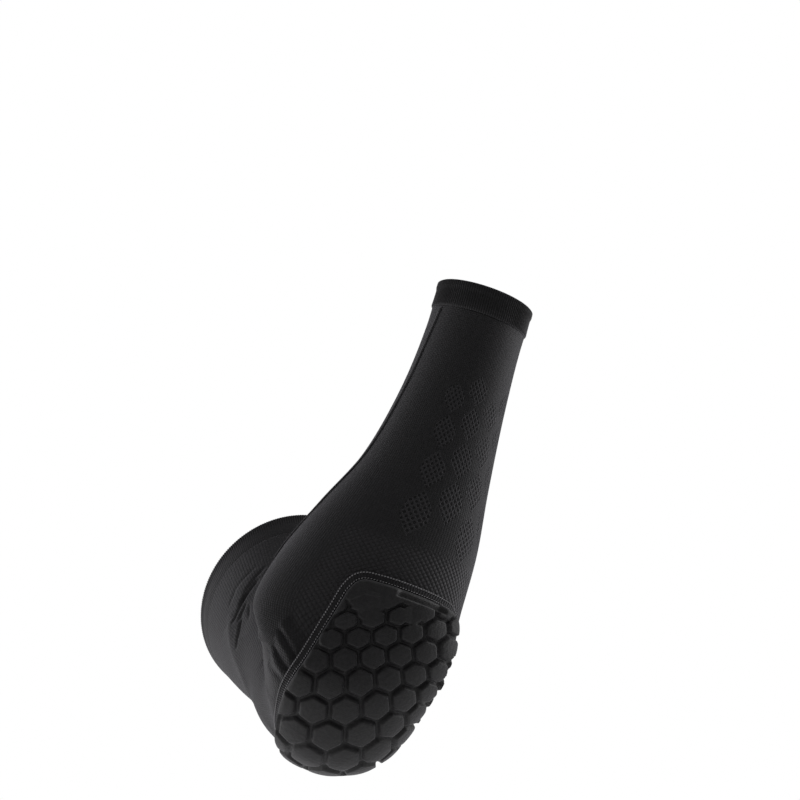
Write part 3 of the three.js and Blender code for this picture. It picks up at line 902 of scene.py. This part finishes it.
def sleeve_body():
    start, end = wrist_at(WRIST_BAND + GAP), upper_at(UPPER_BAND + GAP)
    near_ends = wrist_at(WRIST_BAND + GAP + RIM_ROW), upper_at(UPPER_BAND + GAP + RIM_ROW)
    outer = np.sort(np.append(rows_every(OUTER_STEP, start, end, CLOSE_ROWS), near_ends))
    inner = rows_every(INNER_STEP, start, end)[::-1]
    middle, half, more = CLOSE_ANGLES
    angle = angles_round(AROUND, math.radians(middle), math.radians(half), more)
    layers = ((outer, 0.0), (inner, -WALL))
    points = np.concatenate([tube_layer(t, angle, lift, fine_rise) for t, lift in layers])
    t_all = np.concatenate([outer, inner])
    faces, rows, columns = tube_faces(len(t_all), AROUND)
    places = cloth_places(t_all, rows, columns, angle)
    return make_piece("knit_body", points, faces, places, "sleeve_body", BODY_KNIT)


body = sleeve_body()

# %% [markdown]
# Both ribbed bands have ribs in the mesh, one every mm and a half, with a rounded welt at
# the rim. The wrist band ends in a low step where it joins the body, while the ribs of
# the upper band run out into plain cloth. Modelled ribs keep a true outline at the rim,
# which a bump can't give.

# %% Ribbed bands
RIB_HEIGHT = 0.6
SAMPLES_PER_RIB = 4
BAND_RELIEF = 0.8
# Columns: share of the height from the rim, outer offset as a share of the relief
WRIST_SHAPE = [
    (0.0, -0.6), (0.06, 0.5), (0.3, 0.75), (0.42, 0.25), (0.7, 0.6), (0.94, 1.0), (1.0, 0.1),
]
UPPER_SHAPE = [(0.0, -0.6), (0.06, 0.4), (0.3, 0.5), (0.6, 0.3), (0.9, 0.0), (1.0, -0.2)]
# Shares of the height between which the ribs fade out; past 1 they don't
WRIST_FADE = (1.0, 1.1)
UPPER_FADE = (0.3, 0.7)
BAND_ROWS = 26
INNER_ROWS = 6
EDGE_SHARE = 0.05


def ribbed_band(name, node, height, at, from_rim, relief, fade):
    """Closed tube with ribs; at() turns a way from the rim into a section number."""
    shares = (1 - np.cos(np.linspace(0, math.pi, BAND_ROWS))) / 2
    shape = np.interp(shares, *np.array(relief).T) * BAND_RELIEF
    edge = np.clip(np.minimum(shares, 1 - shares) / EDGE_SHARE, 0, 1)
    edge = edge * np.interp(shares, fade, (1, 0))
    middle = plain(at(height / 2), np.linspace(0, 2 * math.pi, 73))
    ribs = round(float(ways_along(middle)[-1]) / RIB_PITCH)
    around = ribs * SAMPLES_PER_RIB
    angle = 2 * math.pi * np.arange(around) / around
    wave = 0.5 * np.cos(angle * ribs) - 0.5
    lift = shape[:, None] + RIB_HEIGHT * wave[None, :] * edge[:, None]
    inner_shares = np.linspace(1, 0, INNER_ROWS)
    lift_inner = np.interp(inner_shares, *np.array(relief).T)[:, None] * BAND_RELIEF - CUFF_WALL
    layers = ((at(shares * height), lift), (at(inner_shares * height), lift_inner))
    points = np.concatenate([tube_layer(t, angle, up) for t, up in layers])
    t_all = np.concatenate([t for t, _ in layers])
    faces, rows, columns = tube_faces(len(t_all), around)
    if not from_rim:
        faces = [face[::-1] for face in faces]
        rows, columns = (x.reshape(-1, 4)[:, ::-1].reshape(-1) for x in (rows, columns))
    places = cloth_places(t_all, rows, columns, angle)
    places[:, 0] *= ribs * RIB_PITCH / CLOTH_ROUND
    print(name, "has", ribs, "ribs")
    return make_piece(name, points, faces, places, node, RIB_KNIT)


wrist_band = ribbed_band(
    "wrist_rib_band", "wrist_cuff", WRIST_BAND, wrist_at, True, WRIST_SHAPE, WRIST_FADE
)
upper_band = ribbed_band(
    "upper_rib_band", "upper_cuff", UPPER_BAND, upper_at, False, UPPER_SHAPE, UPPER_FADE
)

# %% [markdown]
# The elbow pad is foam, moulded into a honeycomb and covered with cloth. Its top is a
# height over the flat pattern, worked out from how far each point is inside its cell: a
# flat groove, a steep side with a tight shoulder, and a crown that is slightly domed. The
# points are laid densely and joined by a Delaunay triangulation, which fits any outline.
# At the top of the pad some cells run into each other and into a flat corner.

# %% Cells of the pad
PITCH = 16.8
# Shares by which the pitch and the distance of the rows grow from row to row
GROWTH_ABOVE = (0.03, 0.09)
GROWTH_BELOW = (0.055, 0.15)
ROW_LEAN = 0.02
ROW_TILT = math.radians(25.5)
FIRST_CELL = (-0.142, -0.12)
PAD_BASE = 4.2
CELL_RISE = 2.7
CELL_DOME = 0.4
GROOVE_HALF = 0.6
SHOULDER = 1.35
SIDE_SHARE = 0.35
CORNER_SHARPNESS = 2.6
# Each cell's own height in mm and tip in mm per mm, and the numbers that vary them
CELL_OWN = 0.22
CELL_TIP = 0.02
CELL_SEEDS = (12.9898, 4.1, 7.7)
# How far the pad's foot goes past its outline, and how its edge is rounded
PAD_SPREAD = 0.5
EDGE_ROUND = 2.4
EDGE_FOOT = 1.0
# The grooves end before the edge, at the left (by q) and at the top (by p). Columns: how
# far before it, the q or p where that starts, and the length over which it comes in
SIDE_STRIP = (0.6, 8.0, 30.0)
TOP_STRIP = (6.0, -74.0, 12.0)
GROOVE_END = 1.6
# At the top right a low ledge runs along the edge. In turn: its width, the p and the q
# where it starts, the q where it ends, each with the length over which that happens
LEDGE = (5.2, 1.2)
LEDGE_P = (-62.0, 10.0)
LEDGE_Q = (-7.0, 5.0)
LEDGE_END = (27.0, 5.0)
# Places where two cells run into each other: row and column halfway between them, and how
# far the groove is filled there as a share of the pitch
MERGED = [
    (-5, 1.0), (-5.5, 0.25), (-5.5, 0.75), (-5.5, 1.25), (-5.5, 1.75), (-4.5, 0.75),
    (-4, 2.5), (-4.5, 2.75),
]
MERGED_HALF = 0.36
MERGED_SOFT = 0.12

ROW_STEP = np.array([-math.sin(ROW_TILT), math.cos(ROW_TILT)])
NEXT_ROW = np.array([math.cos(ROW_TILT), math.sin(ROW_TILT)])


def smooth(x):
    """0 below 0, 1 above 1, and smooth between them."""
    x = np.clip(x, 0, 1)
    return x * x * (3 - 2 * x)


def growth(row):
    """Growth of the pitch and of the distance of the rows, above or below the first row."""
    return [np.where(row < 0, *pair) for pair in zip(GROWTH_ABOVE, GROWTH_BELOW)]


def lattice_place(row, column):
    """Pattern place of a row and a column of the honeycomb."""
    pitch_growth, row_growth = growth(row)
    down = PITCH * math.sqrt(0.75) * (row + row_growth * row**2 / 2)
    across = column * PITCH * (1 + pitch_growth * row) + ROW_LEAN * PITCH * np.minimum(row, 0) ** 2
    p = FIRST_CELL[0] * PAD_LENGTH + down * NEXT_ROW[0] + across * ROW_STEP[0]
    return p, FIRST_CELL[1] * PAD_WIDTH + down * NEXT_ROW[1] + across * ROW_STEP[1]


def lattice_steps(p, q):
    """Row and column of a pattern place, and how much its cells are stretched."""
    x, y = p - FIRST_CELL[0] * PAD_LENGTH, q - FIRST_CELL[1] * PAD_WIDTH
    down = (x * NEXT_ROW[0] + y * NEXT_ROW[1]) / (PITCH * math.sqrt(0.75))
    pitch_growth, row_growth = growth(down)
    row = (np.sqrt(np.maximum(1 + 2 * row_growth * down, 0.05)) - 1) / row_growth
    stretch = 1 + pitch_growth * row
    lean = ROW_LEAN * PITCH * np.minimum(row, 0) ** 2
    return row, (x * ROW_STEP[0] + y * ROW_STEP[1] - lean) / (PITCH * stretch), stretch


def nearest_cell(p, q):
    """Place in mm inside the nearest cell, and a number that names the cell."""
    rows, columns, stretch = lattice_steps(p, q)
    best = np.full(p.shape, 1e9)
    found = [np.zeros(p.shape) for _ in range(3)]
    base = np.floor(rows)
    for step in (0, 1):
        row = base + step
        shift = 0.5 * (row % 2)
        column = np.round(columns - shift)
        dx = (columns - column - shift) * PITCH * stretch
        dy = (rows - row) * PITCH * math.sqrt(0.75) * stretch
        nearer = dx**2 + dy**2 < best
        best = np.where(nearer, dx**2 + dy**2, best)
        for store, value in zip(found, (dx, dy, row * 37 + column)):
            store[nearer] = value[nearer]
    return *found, stretch


def cell_inset(dx, dy, stretch):
    """How far inside its cell a place is, with softly rounded corners."""
    total = 0
    for k in range(6):
        angle = k * math.pi / 3
        side = PITCH * stretch / 2 - (dx * math.cos(angle) + dy * math.sin(angle))
        total = total + np.exp(-CORNER_SHARPNESS * side)
    return -np.log(total) / CORNER_SHARPNESS


def ledge_share(p, q, border):
    """1 on the low ledge at the top right, 0 off it; and 1 on that whole side."""
    right_side = smooth((q - LEDGE_Q[0]) / LEDGE_Q[1])
    ledge = smooth((LEDGE[0] - border) / LEDGE[1] + 0.5) * smooth((LEDGE_P[0] - p) / LEDGE_P[1])
    return ledge * right_side * smooth((LEDGE_END[0] - q) / LEDGE_END[1]), right_side


def pad_height(p, q):
    """Height of the pad's top over its underside."""
    dx, dy, name, stretch = nearest_cell(p, q)
    share = np.clip((cell_inset(dx, dy, stretch) - GROOVE_HALF) / SHOULDER, 0, 1)
    crown = SIDE_SHARE * share + (1 - SIDE_SHARE) * smooth(share)
    for row, column in MERGED:
        place = lattice_place(row, column)
        off = np.hypot(p - place[0], q - place[1]) / PITCH
        crown = np.maximum(crown, smooth((MERGED_HALF - off) / MERGED_SOFT + 0.5))
    border = depth_inside(p, q) + PAD_SPREAD
    ledge, right_side = ledge_share(p, q, border)
    strip = SIDE_STRIP[0] * smooth((SIDE_STRIP[1] - q) / SIDE_STRIP[2])
    strip = strip + TOP_STRIP[0] * smooth((TOP_STRIP[1] - p) / TOP_STRIP[2]) * (1 - right_side)
    groove = np.maximum(smooth((border - strip) / GROOVE_END), ledge)
    crown = crown * (1 - ledge)
    dome = CELL_DOME * (1 - (dx**2 + dy**2) / (PITCH / 2) ** 2)
    rise, tip_x, tip_y = (name * seed for seed in CELL_SEEDS)
    own = CELL_OWN * np.sin(rise) + CELL_TIP * (np.sin(tip_x) * dx + np.cos(tip_y) * dy)
    top = PAD_BASE + CELL_RISE * (1 - groove * (1 - crown)) + (dome + own) * crown * groove
    edge = np.clip(border / EDGE_ROUND, 0, 1)
    return EDGE_FOOT + (top - EDGE_FOOT) * np.sqrt(1 - (1 - edge) ** 2)


# %% [markdown]
# The pad's mesh. Rings of points follow the outline, closer together where the edge is
# round. Inside them the points follow the rows of the cells, because a plain square grid
# would cut the slanted grooves into steps. The underside is flat and needs few points.

# %% Elbow pad
CELL_POINTS = 24
EDGE_RINGS = (0.0, 0.08, 0.25, 0.55, 1.0, 1.6, 2.3)
EDGE_COUNT = 520


def pad_plan(per_cell, rings):
    """Points of the pattern and triangles between them, with the outline first."""
    loops = [pad_outline(EDGE_COUNT, PAD_SPREAD - inset) for inset in rings]
    reach = math.ceil(0.7 * PAD_LENGTH / PITCH)
    count = 2 * reach * per_cell + 1
    steps = np.linspace(-reach, reach, count)
    rows, columns = np.meshgrid(steps, steps, indexing="ij")
    columns = columns + 0.5 / per_cell * (np.arange(count) % 2)[:, None]
    p, q = lattice_place(rows, columns)
    inside = depth_inside(p, q) > rings[-1] + 0.6 * PITCH / per_cell
    plan = np.concatenate([*loops, np.stack([p[inside], q[inside]], 1)])
    edges = [(k, (k + 1) % EDGE_COUNT) for k in range(EDGE_COUNT)]
    points, _, faces, *_ = delaunay_2d_cdt([Vector(x) for x in plan], edges, [], 1, 1e-5)
    if len(points) != len(plan):
        raise ValueError("the triangulation merged points of the pad")
    return np.array(points), [list(face) for face in faces]


def elbow_pad():
    top, top_faces = pad_plan(CELL_POINTS, EDGE_RINGS)
    under, under_faces = pad_plan(3, (0.0,))
    points = np.concatenate([
        pattern.lift(top, PAD_GAP + pad_height(*top.T)),
        pattern.lift(under, PAD_GAP),
    ])
    n = len(top)
    faces = top_faces + [[n + k for k in face[::-1]] for face in under_faces]
    for k in range(EDGE_COUNT):
        j = (k + 1) % EDGE_COUNT
        faces.append([j, k, n + k, n + j])
    flat = np.concatenate([top, under])
    places = flat[np.concatenate([np.array(face) for face in faces])]
    return make_piece("honeycomb_pad", points, faces, places, "elbow_pad", PAD_CLOTH)


pad = elbow_pad()

# %% [markdown]
# The pad is sewn on with a flat seam: a narrow band with a row of stitches near each of
# its edges. The band is a strip swept round the outline of the pad.

# %% Sewn band
SEAM_CLEAR = 0.8
SEAM_WIDTH = 4.7
SEAM_THICK = 1.0
SEAM_COUNT = 520
# Columns: share of the width, share of the thickness, round the band's section
BAND_SECTION = [
    (0, 0), (0, 0.3), (0.06, 0.5), (0.18, 0.7), (0.5, 0.62), (0.82, 0.6), (0.94, 0.3),
    (1, 0.05), (1, 0),
]


def sewn_band():
    rings = []
    for share, thick in BAND_SECTION:
        loop = pad_outline(SEAM_COUNT, SEAM_CLEAR + share * SEAM_WIDTH)
        rings.append(pattern.lift(loop, PAD_GAP + thick * SEAM_THICK))
    faces, rows, columns = tube_faces(len(rings), SEAM_COUNT)
    length = float(ways_along(np.vstack([OUTLINE, OUTLINE[:1]]))[-1])
    shares = np.array([s for s, _ in BAND_SECTION] + [0.0])
    places = np.stack([shares[rows] * SEAM_WIDTH, columns / SEAM_COUNT * length], 1)
    points = np.concatenate(rings)
    return make_piece("sewn_band", points, faces, places, "pad_seam", SEAM_TAPE)


sewn_band()

# %% [markdown]
# The stitches are all alike: a small slanting bead of thread is set down every 1.75 mm
# along both rows. They are joined into one mesh, which is handier than hundreds of
# objects.

# %% Stitches
STITCH_LENGTH = 1.15
STITCH_WIDTH = 0.75
STITCH_RISE = 0.4
STITCH_LEVEL = 0.85
STITCH_SLANT = 0.25
STITCH_SIDES = 6
STITCH_RINGS = 5
# Places of the two rows as shares of the band's width
STITCH_ROWS = (0.14, 0.86)


def stitch_mesh(rows_of_points, rows_of_normals):
    """Beads of thread, one centred on each point of each row, joined as one mesh."""
    points, faces, places = [], [], []
    ring = np.linspace(0, 2 * math.pi, STITCH_SIDES, endpoint=False)
    for line, up in zip(rows_of_points, rows_of_normals):
        along = unit(np.roll(line, -1, 0) - np.roll(line, 1, 0))
        side = unit(np.cross(up, along))
        along = unit(along + side * STITCH_SLANT)
        side = unit(np.cross(up, along))
        for k in range(len(line)):
            first = len(points)
            for r in range(STITCH_RINGS):
                bow = math.pi * (r + 0.5) / STITCH_RINGS
                for angle in ring:
                    points.append(
                        line[k]
                        - along[k] * math.cos(bow) * STITCH_LENGTH / 2
                        + side[k] * math.cos(angle) * math.sin(bow) * STITCH_WIDTH / 2
                        + up[k] * math.sin(angle) * math.sin(bow) * STITCH_RISE
                    )
            for r in range(STITCH_RINGS - 1):
                for s in range(STITCH_SIDES):
                    n = (s + 1) % STITCH_SIDES
                    a = first + r * STITCH_SIDES
                    b = a + STITCH_SIDES
                    faces.append([a + s, a + n, b + n, b + s])
                    places += [(s, r), (s + 1, r), (s + 1, r + 1), (s, r + 1)]
            last = first + (STITCH_RINGS - 1) * STITCH_SIDES
            faces.append([first + s for s in range(STITCH_SIDES)][::-1])
            faces.append([last + s for s in range(STITCH_SIDES)])
            places += [(0, 0)] * (2 * STITCH_SIDES)
    scaled = np.array(places) * STITCH_LENGTH / STITCH_RINGS
    return make_piece("band_stitches", np.array(points), faces, scaled, None, THREAD)


def band_stitches():
    lines, normals = [], []
    for share in STITCH_ROWS:
        margin = SEAM_CLEAR + share * SEAM_WIDTH
        loop = pad_outline(SEAM_COUNT, margin)
        count = round(float(ways_along(np.vstack([loop, loop[:1]]))[-1]) / STITCH_PITCH)
        loop = pad_outline(count, margin)
        line = pattern.lift(loop, PAD_GAP + STITCH_LEVEL)
        above = pattern.lift(loop, PAD_GAP + STITCH_LEVEL + 1)
        lines.append(line)
        normals.append(unit(above - line))
    return stitch_mesh(lines, normals)


band_stitches()

# %% [markdown]
# A flat seam also runs down the thumb side of the forearm. It shows as a low ridge, so it
# is a narrow strip with a rounded top, swept along a smooth line on the cloth.

# %% Forearm seam
LINE_WIDTH = 2.0
LINE_THICK = 0.8
LINE_COUNT = 260
LINE_CLEAR = 1.0
LINE_END = 5.2
# Steps over which the strip gets thinner at its ends, and how thin it gets there
LINE_TAPER = 4
LINE_TIP = 0.15
# Columns: share of the way from the wrist band to LINE_END, degrees round
LINE_PATH = [(0.0, -52), (0.137, -60), (0.314, -68), (0.558, -77), (0.823, -88), (1.0, -97)]
# Columns: share of the half width, share of the thickness
LINE_SECTION = [(-1, 0), (-0.95, 0.5), (-0.6, 0.9), (0, 1), (0.6, 0.9), (0.95, 0.5), (1, 0)]


def open_curve(points, count):
    """Smooth curve through a few points, with its ends held."""
    p = np.array(points, float)
    f = np.linspace(0, len(p) - 1, count)
    k = np.clip(f.astype(int), 0, len(p) - 2)
    w = weights(f - k)
    padded = np.vstack([2 * p[0] - p[1], p, 2 * p[-1] - p[-2]])
    return sum(w[j][:, None] * padded[k + j] for j in range(4))


def forearm_seam():
    path = open_curve(LINE_PATH, LINE_COUNT)
    start = wrist_at(WRIST_BAND + LINE_CLEAR)
    t, a = start + path[:, 0] * (LINE_END - start), np.radians(path[:, 1])
    _, round_it = directions(t, a)
    half = LINE_WIDTH / 2 / np.linalg.norm(round_it, axis=-1)
    steps = np.arange(LINE_COUNT)
    end = np.clip(np.minimum(steps, steps[::-1]) / LINE_TAPER, LINE_TIP, 1)
    rows = [cloth(t, a + s * half, GAP + h * LINE_THICK * end) for s, h in LINE_SECTION]
    points = np.stack(rows, 1).reshape(-1, 3)
    n = len(LINE_SECTION)
    faces, places = [], []
    ways = ways_along(cloth(t, a, GAP))
    across = [s * LINE_WIDTH / 2 for s, _ in LINE_SECTION]
    for k in range(LINE_COUNT - 1):
        for s in range(n):
            m = (s + 1) % n
            corners = ((k, m), (k, s), (k + 1, s), (k + 1, m))
            faces.append([row * n + column for row, column in corners])
            places += [(across[column], ways[row]) for row, column in corners]
    faces.append(list(range(n)))
    faces.append([(LINE_COUNT - 1) * n + s for s in range(n)][::-1])
    places += [(0, 0)] * (2 * n)
    return make_piece("forearm_seam", points, faces, places, "length_seam", SEAM_LINE_PAINTED_LIGHT)


forearm_seam()

# %% [markdown]
# The stage. The sleeve is worn, so it is held up and nothing touches the floor, which
# lies far below. The studio is white: the world is bright where the camera looks, and
# dim as a light, because a black sleeve in the middle of a white room shows dark in front
# and bright along its sides.

# %% Floor and world
FLOOR_Z = -0.95
FLOOR_HALF = 9.0
# The white room: as the camera sees it, and as a light
SEEN_STRENGTH = 1.0
LIGHT_STRENGTH = 0.1


def floor():
    mesh = bpy.data.meshes.new("floor")
    corners = [(-1, -1), (1, -1), (1, 1), (-1, 1)]
    points = [(x * FLOOR_HALF, y * FLOOR_HALF, FLOOR_Z) for x, y in corners]
    mesh.from_pydata(points, [], [[0, 1, 2, 3]])
    white = {"Emission Color": (1, 1, 1, 1), "Emission Strength": 0.4}
    made = Finish("pale_floor", {"Base Color": (0.86, 0.86, 0.86, 1), "Roughness": 0.9, **white})
    mesh.materials.append(made.material)
    new_object("floor", mesh)


def world():
    room = bpy.data.worlds.new("white_room")
    room.use_nodes = True
    tree = room.node_tree
    seen, light = tree.nodes["Background"], tree.nodes.new("ShaderNodeBackground")
    for background, strength in ((seen, SEEN_STRENGTH), (light, LIGHT_STRENGTH)):
        background.inputs["Color"].default_value = (1, 1, 1, 1)
        background.inputs["Strength"].default_value = strength
    mix, path = tree.nodes.new("ShaderNodeMixShader"), tree.nodes.new("ShaderNodeLightPath")
    tree.links.new(path.outputs["Is Camera Ray"], mix.inputs[0])
    tree.links.new(light.outputs[0], mix.inputs[1])
    tree.links.new(seen.outputs[0], mix.inputs[2])
    tree.links.new(mix.outputs[0], tree.nodes["World Output"].inputs["Surface"])
    bpy.context.scene.world = room
    bpy.context.scene.view_settings.view_transform = "Standard"


floor()
world()

# %% [markdown]
# The camera stands where the photographer stood: a little below the elbow, to the thumb
# side, looking slightly up, with the picture turned so that the forearm leans to the
# right. Its place comes from two angles, a distance, and the picture's own centre.

# %% Camera
AZIMUTH = math.radians(-18.3)
ELEVATION = math.radians(-9.5)
ROLL = math.radians(18.8)
DISTANCE = 1500.0
FOCAL_PIXELS = 2547.0
PICTURE = 800
ORIGIN_AT = (359.2, 669.9)
SENSOR = 36.0


def camera():
    back = np.array([
        math.sin(AZIMUTH) * math.cos(ELEVATION),
        -math.cos(AZIMUTH) * math.cos(ELEVATION),
        math.sin(ELEVATION),
    ])
    level_up = unit(np.array([0, 0, 1.0]) - back * back[2])
    level_right = np.cross(level_up, back)
    right = math.cos(ROLL) * level_right + math.sin(ROLL) * level_up
    up = math.cos(ROLL) * level_up - math.sin(ROLL) * level_right
    x = (ORIGIN_AT[0] - PICTURE / 2) / FOCAL_PIXELS * DISTANCE
    y = -(ORIGIN_AT[1] - PICTURE / 2) / FOCAL_PIXELS * DISTANCE
    place = (back * DISTANCE - right * x - up * y) * MM
    data = bpy.data.cameras.new("camera")
    data.sensor_width = SENSOR
    data.lens = FOCAL_PIXELS / PICTURE * SENSOR
    data.clip_start, data.clip_end = 0.05, 50
    seen_by = new_object("camera", data)
    axes = Matrix((right, up, back)).transposed().to_4x4()
    seen_by.matrix_world = Matrix.Translation(place) @ axes
    bpy.context.scene.camera = seen_by
    return Vector(place), Vector(right), Vector(up), Vector(back)


eye, right, up, back = camera()
print("camera at", [round(v, 3) for v in eye])

# %% [markdown]
# The lights. Black cloth shows mostly as sheen, so a tall soft light stands at each side,
# where its sheen runs along the edge of the arm. A faint one above lights the top.

# %% Soft lights
# Columns: name, steps to the right, up and back toward the camera in metres from the
# elbow, width, height, power
LIGHTS = [
    ("right_soft", 1.1, 0.25, -0.45, 0.7, 1.6, 9),
    ("left_soft", -1.2, -0.5, -0.2, 0.7, 1.4, 8),
    ("top_soft", 0.1, 1.5, 0.2, 1.2, 0.8, 3),
]


def soft_lights():
    aim = Vector((0, 0.03, 0.08))
    for name, to_right, to_up, to_back, width, height, power in LIGHTS:
        data = bpy.data.lights.new(name, "AREA")
        data.shape = "RECTANGLE"
        data.size, data.size_y = width, height
        data.energy = power
        lamp = new_object(name, data)
        lamp.location = aim + right * to_right + up * to_up + back * to_back
        lamp.rotation_mode = "QUATERNION"
        lamp.rotation_quaternion = (aim - lamp.location).to_track_quat("-Z", "Y")
    print("lights:", len(LIGHTS))


soft_lights()
